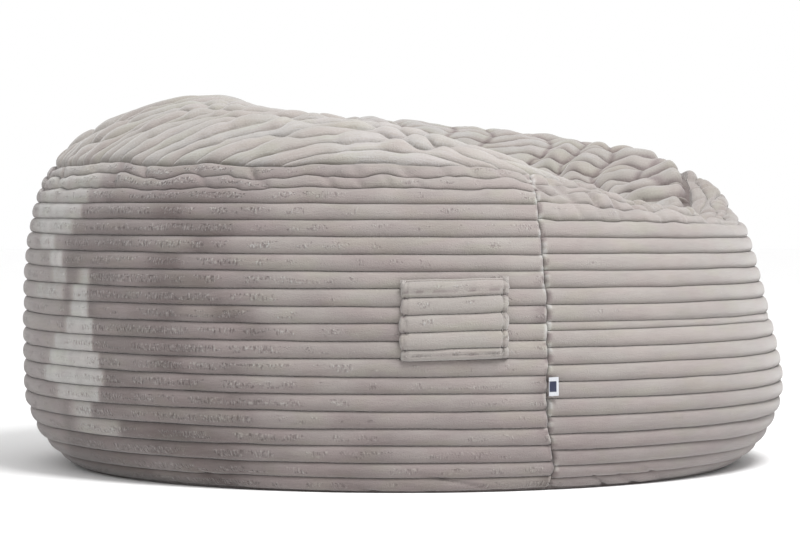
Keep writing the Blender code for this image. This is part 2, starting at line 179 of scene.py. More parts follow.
class Skin:
    """The cover's smooth form: points and normals by angle and by distance along the cloth."""

    def __init__(self):
        angle = np.arange(TURNS) * 2 * math.pi / TURNS
        raw = raw_meridians(angle)
        steps = np.linalg.norm(np.diff(raw, axis=1), axis=2)
        arc = np.concatenate([np.zeros((TURNS, 1)), np.cumsum(steps, 1)], 1)
        self.length = arc[:, -1]
        even = np.linspace(0, 1, STATIONS)
        points = np.empty((TURNS, STATIONS, 3))
        for i in range(TURNS):
            for axis in range(3):
                points[i, :, axis] = np.interp(even * self.length[i], arc[i], raw[i, :, axis])
        self.points = self.rounded(points)
        self.bulge = np.array(
            [np.interp(BULGE_Z, p[: STATIONS // 2, 2], np.arange(STATIONS // 2)) for p in self.points]
        )
        self.step = self.length / (STATIONS - 1)
        self.points += self.normals_of(self.points) * self.hump(angle)[..., None]
        self.normals = self.normals_of(self.points)

    def hump(self, angle):
        """How far the rim stands up where it turns from the front to the sitter's left."""
        run = BULGE_Z + (np.arange(STATIONS)[None, :] - self.bulge[:, None]) * self.step[:, None]
        near_rim = ease((run - 0.37) / 0.09) * (1 - ease((run - 0.56) / 0.10))
        return HUMP * bell((angle - HUMP_ANGLE) / HUMP_SPREAD)[:, None] * near_rim

    def rounded(self, points):
        """The creases at the rim rounded off, with both ends of each line kept."""
        spread = ROUNDING / (self.length.mean() / (STATIONS - 1))
        reach = int(4 * spread)
        weights = np.exp(-0.5 * (np.arange(-reach, reach + 1) / spread) ** 2)
        weights /= weights.sum()
        first, last = points[:, :1], points[:, -1:]
        before = 2 * first - points[:, reach:0:-1]
        after = 2 * last - points[:, -2 : -reach - 2 : -1]
        line = np.concatenate([before, points, after], 1)
        smooth = sum(w * line[:, k : k + STATIONS] for k, w in enumerate(weights))
        # The foot keeps its own tight curve: only the part above the bulge is rounded.
        blend = ease((points[..., 2:] - 0.10) / 0.10)
        inside = np.arange(STATIONS)[None, :, None] > STATIONS // 2
        return np.where(inside, smooth, points + (smooth - points) * blend)

    def normals_of(self, points):
        along = np.gradient(points, axis=1)
        around = np.roll(points, -1, 0) - np.roll(points, 1, 0)
        around[:, -1] = around[:, -3]
        cross = np.cross(around, along)
        cross /= np.linalg.norm(cross, axis=2, keepdims=True) + 1e-12
        return cross

    def station(self, angle, run):
        """The place along each line that lies this far up the cloth, run, from the floor."""
        turn = (angle / (2 * math.pi)) % 1 * TURNS
        bulge = self.mixed(self.bulge, turn)
        step = self.mixed(self.step, turn)
        above = bulge + (run - BULGE_Z) / step
        heights = self.points[:, :FOOT_STATIONS, 2]
        low = np.clip(run, 0, BULGE_Z)
        column = np.floor(turn).astype(int) % TURNS
        flat_column, flat_low = column.ravel(), low.ravel()
        flat_below = np.empty(above.size)
        for i in np.unique(flat_column):
            chosen = flat_column == i
            flat_below[chosen] = np.interp(flat_low[chosen], heights[i], np.arange(FOOT_STATIONS))
        below = flat_below.reshape(above.shape)
        return np.where(run > BULGE_Z, above, below)

    @staticmethod
    def mixed(values, turn):
        i = np.floor(turn).astype(int)
        f = turn - i
        return values[i % TURNS] * (1 - f) + values[(i + 1) % TURNS] * f

    def look_up(self, table, angle, station):
        turn = (angle / (2 * math.pi)) % 1 * TURNS
        i = np.floor(turn).astype(int)
        k = np.clip(np.floor(station).astype(int), 0, STATIONS - 2)
        f, g = (turn - i)[..., None], np.clip(station - k, 0, 1)[..., None]
        a, b = table[i % TURNS, k], table[(i + 1) % TURNS, k]
        c, d = table[i % TURNS, k + 1], table[(i + 1) % TURNS, k + 1]
        return (a * (1 - f) + b * f) * (1 - g) + (c * (1 - f) + d * f) * g

    def at(self, angle, station):
        """The points at these places, and the way out of the surface there."""
        angle, station = np.broadcast_arrays(angle, station)
        normal = self.look_up(self.normals, angle, station)
        normal /= np.linalg.norm(normal, axis=-1, keepdims=True) + 1e-12
        return self.look_up(self.points, angle, station), normal


SKIN = Skin()

# ---- making objects


def mesh_object(name, vertices, faces, material, attributes=None):
    mesh = bpy.data.meshes.new(name)
    mesh.from_pydata(vertices, [], faces)
    for key, values in (attributes or {}).items():
        values = np.asarray(values, np.float32)
        kind = "FLOAT_VECTOR" if values.ndim == 2 else "FLOAT"
        layer = mesh.attributes.new(key, kind, "POINT")
        layer.data.foreach_set("vector" if values.ndim == 2 else "value", values.ravel())
    mesh.shade_smooth()
    mesh.materials.append(material)
    obj = bpy.data.objects.new(name, mesh)
    bpy.context.scene.collection.objects.link(obj)
    return obj


def grid_object(name, points, material, attributes=None):
    """A sheet of quads through a grid of points, facing away from the body."""
    rows, columns = points.shape[:2]
    corner = (np.arange(rows - 1)[:, None] * columns + np.arange(columns - 1)).ravel()
    faces = np.stack([corner, corner + 1, corner + columns + 1, corner + columns], 1)
    flat = {k: v.reshape(rows * columns, *v.shape[2:]) for k, v in (attributes or {}).items()}
    return mesh_object(name, points.reshape(-1, 3), faces.tolist(), material, flat)


# ---- materials


class Shader:
    """A Principled material under construction: its node tree, with short ways to add to it."""

    def __init__(self, name, roughness, metallic=0.0):
        self.material = bpy.data.materials.new(name)
        self.material.use_nodes = True
        self.tree = self.material.node_tree
        self.main = self.tree.nodes["Principled BSDF"]
        self.main.inputs["Roughness"].default_value = roughness
        self.main.inputs["Metallic"].default_value = metallic

    def node(self, kind, **settings):
        node = self.tree.nodes.new("ShaderNode" + kind)
        for key, value in settings.items():
            setattr(node, key, value)
        return node

    def link(self, source, target):
        self.tree.links.new(source, target)

    def attribute(self, name):
        return self.node("Attribute", attribute_name=name)

    def place(self, name=None):
        """The coordinates that patterns are drawn in: an attribute, or the object's own."""
        if name:
            return self.attribute(name).outputs["Vector"]
        return self.node("TexCoord").outputs["Object"]

    def stretched(self, vector, scale, shift=(0, 0, 0)):
        mapping = self.node("Mapping")
        mapping.inputs["Scale"].default_value = scale
        mapping.inputs["Location"].default_value = shift
        self.link(vector, mapping.inputs["Vector"])
        return mapping.outputs["Vector"]

    def noise(self, vector, scale=1.0, detail=2.0, rough=0.5):
        noise = self.node("TexNoise")
        noise.inputs["Scale"].default_value = scale
        noise.inputs["Detail"].default_value = detail
        noise.inputs["Roughness"].default_value = rough
        self.link(vector, noise.inputs["Vector"])
        return noise.outputs["Fac"]

    def waves(self, vector, scale, direction="X"):
        wave = self.node("TexWave", bands_direction=direction)
        wave.inputs["Scale"].default_value = scale
        self.link(vector, wave.inputs["Vector"])
        return wave.outputs["Fac"]

    def remap(self, value, low, high, to_low=0.0, to_high=1.0, smooth=True):
        node = self.node("MapRange")
        if smooth:
            node.interpolation_type = "SMOOTHSTEP"
        keys = ("From Min", "From Max", "To Min", "To Max")
        for key, number in zip(keys, (low, high, to_low, to_high)):
            node.inputs[key].default_value = number
        self.link(value, node.inputs["Value"])
        return node.outputs["Result"]

    def math(self, operation, a, b):
        node = self.node("Math", operation=operation)
        for socket, value in zip(node.inputs, (a, b)):
            if isinstance(value, (int, float)):
                socket.default_value = value
            else:
                self.link(value, socket)
        return node.outputs["Value"]

    def blend(self, factor, a, b, mode="MIX"):
        node = self.node("Mix", data_type="RGBA", blend_type=mode)
        for socket, value in ((node.inputs["Factor"], factor), (node.inputs[6], a), (node.inputs[7], b)):
            if isinstance(value, tuple):
                socket.default_value = (*value, 1)
            elif isinstance(value, (int, float)):
                socket.default_value = value
            else:
                self.link(value, socket)
        return node.outputs[2]

    def ramp(self, value, stops):
        """Colours at rising values, mixed evenly between them."""
        node = self.node("ValToRGB")
        elements = node.color_ramp.elements
        while len(elements) < len(stops):
            elements.new(0.5)
        for element, (position, colour) in zip(elements, stops):
            element.position = position
            element.color = (*colour, 1)
        self.link(value, node.inputs["Fac"])
        return node.outputs["Color"]

    def separate(self, vector):
        node = self.node("SeparateXYZ")
        self.link(vector, node.inputs["Vector"])
        return node.outputs

    def colour(self, socket):
        self.link(socket, self.main.inputs["Base Color"])

    def roughness(self, socket):
        self.link(socket, self.main.inputs["Roughness"])

    def bump(self, *layers):
        """Layers of height, each with its distance in metres, over one another."""
        normal = None
        for height, distance in layers:
            node = self.node("Bump")
            node.inputs["Strength"].default_value = 1.0
            node.inputs["Distance"].default_value = distance
            self.link(height, node.inputs["Height"])
            if normal is not None:
                self.link(normal, node.inputs["Normal"])
            normal = node.outputs["Normal"]
        self.link(normal, self.main.inputs["Normal"])

    def sheen(self, weight, rough):
        self.main.inputs["Sheen Weight"].default_value = weight
        self.main.inputs["Sheen Roughness"].default_value = rough


PLUSH_TONES = (
    (0.10, (0.094, 0.075, 0.071)),
    (0.38, (0.180, 0.154, 0.149)),
    (0.60, (0.250, 0.232, 0.215)),
    (0.67, (0.280, 0.268, 0.260)),
    (0.90, (0.380, 0.373, 0.358)),
)


def plush_material():
    """Deep pile: its colour turns with the lie of the pile, and ruffled tufts stand out along the ribs'
    crowns.

    The attribute cloth holds metres along the rib and across it, and the place across the rib from
    -1 to 1. shade is the lie of the pile, with painted shade and painted light added in, and ruffle
    how much of the crown is ruffled.
    """
    plush = Shader("ribbed_plush", 0.92)
    cloth = plush.place("cloth")
    shade = plush.attribute("shade").outputs["Fac"]
    ruffle = plush.attribute("ruffle").outputs["Fac"]
    across = plush.separate(cloth)["Z"]

    def grain(scale, detail, shift=(0, 0, 0), rough=0.5):
        return plush.noise(plush.stretched(cloth, (*scale, 0), shift), detail=detail, rough=rough)

    drift = grain((14, 40), 3)
    streak = grain((35, 420), 2)
    tuft = grain((420, 640), 2, rough=0.6)

    patch = grain((24, 42), 2, (3, 7, 0))
    patch = plush.remap(plush.math("ADD", patch, ruffle), 0.50, 0.56)
    crown = plush.remap(plush.math("ABSOLUTE", plush.math("ADD", across, 0.05), 0), 0.50, 0.28)
    zone = plush.math("MULTIPLY", patch, crown)
    tick = grain((330, 120), 1, (5, 1, 0))
    twist = grain((190, 260), 1, (1, 6, 0))
    tick = plush.math("ADD", plush.math("MULTIPLY", tick, 0.65), plush.math("MULTIPLY", twist, 0.35))
    zone = plush.math("MULTIPLY", zone, plush.remap(ruffle, -0.06, 0.06, 0.55, 1.0))
    light_tick = plush.math("MULTIPLY", plush.remap(tick, 0.53, 0.62), zone)
    dark_tick = plush.math("MULTIPLY", plush.remap(tick, 0.47, 0.39), zone)

    value = shade
    for part, swing in ((drift, 0.05), (streak, 0.05), (tuft, 0.07)):
        value = plush.math("ADD", value, plush.remap(part, 0.2, 0.8, -swing, swing, False))
    value = plush.math("ADD", value, plush.math("MULTIPLY", light_tick, 0.24))
    value = plush.math("SUBTRACT", value, plush.math("MULTIPLY", dark_tick, 0.25))
    colour = plush.ramp(value, PLUSH_TONES)

    # Patches of the cloth are a little rosier, and others a little greener.
    for hue, low, high, tint in (
        (grain((11, 24), 1, (9, 4, 0)), 0.42, 0.62, (1.020, 0.992, 0.996)),
        (grain((13, 30), 1, (2, 8, 0)), 0.50, 0.66, (0.990, 1.010, 0.965)),
    ):
        tinted = plush.blend(1.0, colour, tint, "MULTIPLY")
        colour = plush.blend(plush.remap(hue, low, high), colour, tinted)
    plush.colour(colour)
    plush.sheen(0.35, 0.45)
    height = plush.math("SUBTRACT", light_tick, dark_tick)
    plush.bump((tuft, 0.0011), (height, 0.0012))
    return plush.material


def thread_material():
    thread = Shader("sewing_thread", 0.65)
    twist = thread.waves(thread.place(), 900, "DIAGONAL")
    thread.colour(thread.blend(twist, (0.20, 0.18, 0.17), (0.42, 0.39, 0.37)))
    thread.sheen(0.2, 0.4)
    thread.bump((twist, 0.0002))
    return thread.material


def woven_material(name, dark, light, threads, roughness, depth=0.0003):
    """A plain weave, from two crossing sets of threads."""
    cloth = Shader(name, roughness)
    place = cloth.place()
    one, other = cloth.waves(place, threads, "X"), cloth.waves(place, threads, "Y")
    weave = cloth.math("MAXIMUM", one, other)
    wear = cloth.noise(place, 18, 3)
    value = cloth.math("ADD", cloth.math("MULTIPLY", weave, 0.6), cloth.math("MULTIPLY", wear, 0.6))
    cloth.colour(cloth.blend(value, dark, light))
    cloth.roughness(cloth.remap(wear, 0.3, 0.7, roughness - 0.06, roughness + 0.06))
    cloth.bump((weave, depth))
    cloth.sheen(0.15, 0.5)
    return cloth.material


def label_material():
    """Satin-woven tag: a navy field in an off-white border, with no mark on it."""
    label = Shader("woven_label", 0.45)
    cloth = label.place("cloth")
    field = label.attribute("shade").outputs["Fac"]
    weave = label.math("MULTIPLY", label.waves(cloth, 700, "X"), label.waves(cloth, 500, "Y"))
    navy = label.blend(weave, (0.007, 0.010, 0.032), (0.018, 0.025, 0.075))
    white = label.blend(weave, (0.42, 0.43, 0.46), (0.62, 0.63, 0.66))
    label.colour(label.blend(label.remap(field, 0.45, 0.55), white, navy))
    label.bump((weave, 0.0002))
    label.sheen(0.1, 0.3)
    return label.material


def coil_material():
    coil = Shader("zip_coil", 0.38)
    turns = coil.waves(coil.place(), 350, "Y")
    coil.colour(coil.blend(turns, (0.010, 0.010, 0.011), (0.06, 0.06, 0.062)))
    coil.bump((turns, 0.0004))
    return coil.material


def metal_material():
    metal = Shader("zip_metal", 0.33, 1.0)
    scratches = metal.noise(metal.stretched(metal.place(), (200, 2600, 200)), 1, 3)
    metal.colour(metal.blend(scratches, (0.36, 0.36, 0.37), (0.58, 0.58, 0.59)))
    metal.roughness(metal.remap(scratches, 0.3, 0.7, 0.26, 0.44))
    metal.bump((scratches, 0.00005))
    return metal.material


def bead_material():
    beads = Shader("foam_beads", 0.7)
    cell = beads.node("TexVoronoi")
    cell.inputs["Scale"].default_value = 260
    beads.link(beads.place(), cell.inputs["Vector"])
    # Painted shade: each bead is painted greyer towards its rim, standing in for the shade between the
    # beads.
    gap = beads.remap(cell.outputs["Distance"], 0, 0.7)
    beads.colour(beads.blend(gap, (0.9, 0.9, 0.89), (0.6, 0.6, 0.59)))
    beads.bump((beads.remap(cell.outputs["Distance"], 0, 0.7, 1, 0), 0.0015))
    return beads.material


PLUSH = plush_material()
THREAD = thread_material()
LABEL = label_material()
MATERIALS = {
    "base_cloth": woven_material("base_cloth", (0.018, 0.018, 0.019), (0.075, 0.075, 0.078), 320, 0.85),
    "liner_cloth": woven_material("liner_cloth", (0.62, 0.62, 0.60), (0.84, 0.84, 0.82), 520, 0.8, 0.0001),
    "zip_tape": woven_material("zip_tape", (0.015, 0.015, 0.016), (0.06, 0.06, 0.062), 600, 0.8, 0.0001),
    "zip_coil": coil_material(),
    "zip_metal": metal_material(),
    "foam_beads": bead_material(),
}


def finish_cad_nodes():
    """The nodes that stay from the CAD take their slot's detailed material."""
    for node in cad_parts.values():
        for slot in node.material_slots:
            for key, material in MATERIALS.items():
                if slot.material and slot.material.name.split(".")[0] == key:
                    slot.material = material


# ---- side panels


def rib_rows(ribs, rows):
    """The rows of a ribbed panel, as columns: the rib's number, and the place across it, -1 to 1."""
    across = np.sin(np.linspace(-1, 1, rows, endpoint=False) * math.pi / 2)
    rib = np.append(np.repeat(np.arange(ribs), rows), ribs - 1)
    return rib[:, None], np.append(np.tile(across, ribs), 1.0)[:, None]


def rib_profile(across):
    return np.sqrt(np.clip(1 - np.abs(across) ** 2.3, 0, 1))


def back_widths():
    widths = np.full(20, RIB_PITCH)
    widths[:3] = (0.020, 0.023, 0.026)
    widths[-4:] = (0.0255, 0.0245, 0.0225, 0.0215)
    return widths


def front_widths():
    widths = np.full(21, RIB_PITCH - 0.0004)
    widths[:3] = (0.0155, 0.0185, 0.0245)
    widths[10] = 0.0125
    widths[-3:] = (0.0235, 0.0225, 0.020)
    return widths


def perimeter(first, last, columns, fine=0.014):
    """Angles spread evenly along the panel's length, closer at its two ends, and their distances."""
    angle = np.radians(np.linspace(first, last, 4000))
    x, y = HALF_LENGTH * np.cos(angle), HALF_WIDTH * np.sin(angle)
    distance = np.concatenate([[0], np.cumsum(np.hypot(np.diff(x), np.diff(y)))])
    ends = fine * np.linspace(0, 1, 9)[:-1] ** 1.3
    total = distance[-1]
    run = np.concatenate([ends, np.linspace(fine, total - fine, columns), (total - ends)[::-1]])
    return np.interp(run, distance, angle), run, total


def pinches(u, rib, spacing, seed):
    """Narrow dips where the slack cloth bunches, at uneven places along each rib: 0, or up to 1."""
    place = u / spacing + 0.9 * noise(u / (3 * spacing), rib * 2.3, seed) + 0.37 * rib
    nearest = np.round(place)
    depth = np.clip(noise(nearest, rib * 5.0, seed + 1) + 0.55, 0, 1)
    return depth * bell((place - nearest) / 0.12)


def cloth_places(along, across, rib, place):
    """Where a point lies on the flat cloth. Each rib's pattern starts at a place of its own."""
    return np.stack(np.broadcast_arrays(along + 0.37 * rib, across, place), -1)


# Strokes brushed into the nap at the back, light and dark: rib, from x, to x, strength, softness.
STROKES = (
    (3, -0.531, -0.452, 0.07, 0.020),
    (4, -0.539, -0.500, 0.16, 0.012),
    (5, -0.564, -0.486, 0.25, 0.008),
    (6, -0.589, -0.478, 0.26, 0.010),
    (7, -0.580, -0.486, 0.27, 0.006),
    (8, -0.570, -0.498, 0.27, 0.006),
    (9, -0.547, -0.498, 0.31, 0.008),
    (10, -0.539, -0.506, 0.30, 0.006),
    (11, -0.536, -0.507, 0.27, 0.010),
    (11, -0.610, -0.553, 0.17, 0.012),
    (12, -0.522, -0.504, 0.23, 0.010),
    (12, -0.574, -0.547, 0.14, 0.006),
    (13, -0.580, -0.555, 0.28, 0.008),
    (14, -0.600, -0.570, 0.26, 0.010),
    (15, -0.612, -0.537, 0.23, 0.014),
    (16, -0.612, -0.520, 0.23, 0.006),
    (17, -0.600, -0.508, 0.15, 0.012),
    (17, -0.502, -0.478, -0.13, 0.012),
    (18, -0.590, -0.487, 0.13, 0.016),
    (18, -0.480, -0.458, -0.16, 0.012),
    (18, -0.398, -0.380, -0.14, 0.008),
    (19, -0.580, -0.462, 0.10, 0.016),
    (19, -0.455, -0.436, -0.18, 0.012),
)


def nap_and_painted_shade(point, u, rib, seed):
    """How light the pile looks: brushed dark beside the back, with light strokes at the very back.
    Painted shade darkens it towards the floor.
    """
    x, y, z = (point[..., axis] for axis in range(3))
    # Painted shade: the pile is painted darker towards the floor, standing in for the shade low on the
    # body. It is painted a little lighter towards the front: partly painted light from the front, partly
    # the pile's own tone.
    front = ease((x + 0.10) / 0.50)
    value = 0.49 + 0.025 * front - (0.110 + 0.020 * front) * (1 - ease(z / 0.22))
    stroke = np.tanh(3 * noise(u / 0.075 + 5.1 * rib, rib * 3.9, seed + 20))
    value = value + 0.018 * stroke

    value = value - 0.08 * ease((-0.44 - x) / 0.08)
    near = ease((0.1 - y) / 0.2)
    edge = -0.27 + 0.07 * noise(rib * 2.7, 0.5, seed + 23) + 0.05 * noise(u / 0.05, rib * 1.9, seed + 24)
    blotch = np.tanh(3 * noise(u / 0.060 + 3.7 * rib, rib * 6.3, seed + 21))
    dark = ease((x + 0.565) / 0.030) * (1 - ease((x - edge + 0.06) / 0.17)) * ease((0.50 - z) / 0.06)
    value = value - near * dark * (0.20 + 0.06 * blotch)
    faint = ease((x + 0.42) / 0.05) * (1 - ease((x + 0.02) / 0.20))
    value = value - near * 0.035 * faint * (1 + blotch)
    for stroke_rib, low, high, strength, soft in STROKES:
        here = (rib == stroke_rib) & (y < 0)
        if here.any():
            span = ease((x - low) / (2 * soft) + 0.5) * ease((high - x) / soft + 0.5)
            target = 0.49 + strength * (1 + 0.25 * noise(u / 0.012, rib, seed + 25))
            value = value + here * span * (target - value)
    return value


def ruffled(point):
    """How much of the ribs' crowns is ruffled: most beside the back, little at the front."""
    x = point[..., 0]
    beside = 0.08 - 0.125 * ease((x + 0.42) / 0.42) - 0.05 * ease((x - 0.2) / 0.2)
    return beside - 0.07 * ease((-0.48 - x) / 0.07)


def side_seam_shift(angle, run, end):
    """The turn that moves a place this far from a side seam, so that the seam strays a little from a
    straight line and stays upright where the foot draws in."""
    stray = 0.0022 * noise(run / 0.033, 0.5, 31) + 0.0016 * noise(run / 0.011, 0.5, 32)
    upright = 0.036 * (1 - ease(run / 0.15)) ** 1.5
    shift = stray * (1 - ease(end / 0.035)) + upright * (1 - ease(end / 0.20))
    return -np.sign(np.sin(angle)) * shift / HALF_LENGTH


def folds(u, height, spacing, slant, seed):
    """Slanting creases across the ribs: 0, or up to 1 along a crease."""
    place = u / spacing + slant * height / spacing + 0.8 * noise(u / (2.5 * spacing), height / 0.08, seed)
    nearest = np.round(place)
    depth = np.clip(noise(nearest, height / 0.045, seed + 1) + 0.45, 0, 1)
    return depth * bell((place - nearest) / 0.10)


def side_panel(name, first, last, columns, widths, start, slack_from, bunched, seed):
    """A ribbed wall panel. bunched is how much its slack top is gathered up, from 0 to 1."""
    rib, across = rib_rows(len(widths), RIB_ROWS)
    edges = start + np.concatenate([[0], np.cumsum(widths)])
    edges = start + (edges - start) * (SEAM_RUN - start) / (edges[-1] - start)
    angle, run, total = perimeter(first, last, columns)

    u = run[None, :]
    slack = ease((edges[rib] - slack_from) / 0.05)  # 1 on the slack ribs near the rim
    fixed = ease((edges[-1] - edges) / 0.01)
    end = np.minimum(u, total - u)
    clear = ease(end / 0.05)

    wander = (seam_run(angle) - SEAM_RUN)[None, :]

    def wave(k):
        calm = 0.0012 * noise(u / 0.22, k * 7.31, seed) + 0.0005 * noise(u / 0.06, k * 3.7, seed + 1)
        loose = ease((edges[k] - slack_from) / 0.05)
        bent = calm + loose * (0.0048 + 0.0035 * bunched) * noise(u / 0.044, k * 5.3, seed + 2)
        bent = bent + loose * 0.0022 * noise(u / 0.017, k * 4.3, seed + 15)
        bent = bent + loose * bunched * clear * 0.0045 * noise(u / 0.026, k * 3.3, seed + 12)
        return bent * fixed[k] + wander * loose**3

    low, top = edges[rib] + wave(rib), edges[rib + 1] + wave(rib + 1)
    height = low + (across + 1) / 2 * (top - low)

    swell = 1 + 0.10 * noise(u / 0.13, rib * 9.7, seed + 3)
    pinched = slack * pinches(u + 0.006 * across, rib, 0.062 - 0.012 * bunched, seed + 8)
    swell = swell + slack * 0.28 * noise(u / 0.055, rib * 4.1, seed + 4) - 1.05 * pinched
    wide = np.clip((top - low) / RIB_PITCH, 0.4, 1.25)
    out = RIB_HEIGHT * wide * swell * rib_profile(across) - GROOVE_DEPTH
    out = out + 0.0008 * noise(u / 0.3, height / 0.09, seed + 5)
    out = out + slack * 0.003 * noise(u / 0.06, height / 0.035, seed + 9)
    gathered = slack * bunched * clear
    out = out + gathered * 0.0075 * noise(u / 0.044, height / 0.030, seed + 13)
    out = out - gathered * 0.0085 * folds(u, height, 0.062, 0.5, seed + 14)
    out = np.maximum(out, -0.0075)

    # The foot is drawn in under the body, which creases it slantwise here and there.
    drawn = (1 - ease((height - 0.016) / 0.022)) * ease(0.6 + 1.6 * noise(u / 0.20, 0.5, seed + 16))
    out = out - drawn * 0.0055 * folds(u, height, 0.085, 3.6, seed + 17)

    # The ribs' ends are plump and uneven where the panel is sewn to its neighbour.
    which = np.sign(u - total / 2)
    lobe = 0.0075 + 0.003 * noise(rib * 3.3, which, seed + 6)
    turned = quarter_round(end / lobe)
    depth = SIDE_SEAM_DEPTH * (1 + 0.5 * noise(height / 0.012, which, seed + 18))
    out = -depth + (out + depth) * turned
    fringe = 1 - ease((end - 0.003) / 0.007)
    out = out + 0.0016 * (fringe * noise(height / 0.0065, which, seed + 19))

    # Hidden margins: a turned-under foot, and an edge tucked in below the top panel.
    foot_runs = np.full((2, u.size), 0.0020)
    edge_runs = seam_run(angle)[None, :] + np.array([0.004, 0.009])[:, None]
    height = np.concatenate([foot_runs, height, edge_runs])
    edge_out = np.array([-0.011, -0.013])[:, None] + 0 * u
    out = np.concatenate([np.full((2, u.size), -0.005), out, edge_out])

    bearing = angle[None, :] + side_seam_shift(angle[None, :], height, end)
    station = SKIN.station(bearing, height)
    point, normal = SKIN.at(bearing, station)
    point = point + normal * out[..., None]
    point[..., 2] = np.maximum(point[..., 2], FLOOR_Z)
    point[0, :, :2] *= 1 - FOOT_MARGIN / np.linalg.norm(point[0, :, :2], axis=1, keepdims=True)
    point[:2, :, 2] = FLOOR_Z
    rib_numbers = np.concatenate([[[0], [0]], rib, [[len(widths)], [len(widths)]]])
    places = np.concatenate([[[-1], [-1]], across, [[1], [1]]])
    shade = nap_and_painted_shade(point, u, rib_numbers, seed)
    tufts = np.clip(1.8 * noise(height / 0.0065, which, seed + 19), -0.7, 1)
    shade = shade + 0.24 * tufts * fringe
    brushed = (1 - ease((end - 0.006) / 0.028)) * (1 - bunched) * ease((0.36 - height) / 0.10)
    shade = shade - 0.20 * brushed * np.clip(0.55 + noise(rib_numbers * 1.9, which, seed + 26), 0, 1)
    # Painted shade in the pinched dips.
    shade[2:-2] -= 0.07 * pinched
    # The turned-under foot rows are painted dark: partly painted shadow under the body, partly standing in
    # for the dark base cloth at the bottom edge.
    shade[:2] = 0.10
    pattern = {
        "shade": shade,
        "ruffle": ruffled(point) - 0.06 * bunched,
        "cloth": cloth_places(u, height, rib_numbers, places),
    }
    return grid_object(name, point, PLUSH, pattern)


# ---- top panel


def seam_loop():
    """The line where the top panel is sewn to the side panels: angles, plan points, stations."""
    angle = np.arange(TURNS) * 2 * math.pi / TURNS
    station = SKIN.station(angle, seam_run(angle))
    point, _ = SKIN.at(angle, station)
    return angle, point, station


class TopMap:
    """Places on the flat top panel, as x and y from the seat's middle, found on the skin."""

    def __init__(self):
        angle, seam, station = seam_loop()
        flat = seam[:, :2] - np.array([SEAT_X, CENTRE_Y])
        bearing = np.unwrap(np.arctan2(flat[:, 1], flat[:, 0]))
        self.flat = flat
        self.lower = bearing[0]
        self.bearing = np.append(bearing, bearing[0] + 2 * math.pi)
        self.angle = np.append(angle, 2 * math.pi)
        radius = np.hypot(flat[:, 0], flat[:, 1])
        self.radius = np.append(radius, radius[0])
        self.station = np.append(station, station[0])
        self.low_y, self.high_y = flat[:, 1].min() + 0.0006, flat[:, 1].max() - 0.0006

    def ends(self, y):
        """The rear and front ends of the ribs at these y."""
        first, last = np.argmax(self.flat[:, 1]), np.argmin(self.flat[:, 1])
        rear = self.flat[first : last + 1][::-1]
        front = np.concatenate([self.flat[last:], self.flat[: first + 1]])
        return [np.interp(y, line[:, 1], line[:, 0]) for line in (rear, front)]

    def polar(self, x, y):
        """The bearing from the seat's middle, and how far the seam lies that way."""
        bearing = (np.arctan2(y, x) - self.lower) % (2 * math.pi) + self.lower
        return bearing, np.interp(bearing, self.bearing, self.radius)

    def inside(self, x, y):
        """How far these places lie inside the seam."""
        return self.polar(x, y)[1] - np.hypot(x, y)

    def at(self, x, y):
        bearing, radius = self.polar(x, y)
        psi = np.interp(bearing, self.bearing, self.angle)
        reach = np.clip(np.hypot(x, y) / radius, 0, 1)
        edge = np.interp(psi, self.angle, self.station)
        return SKIN.at(psi, STATIONS - 1 - reach * (STATIONS - 1 - edge))


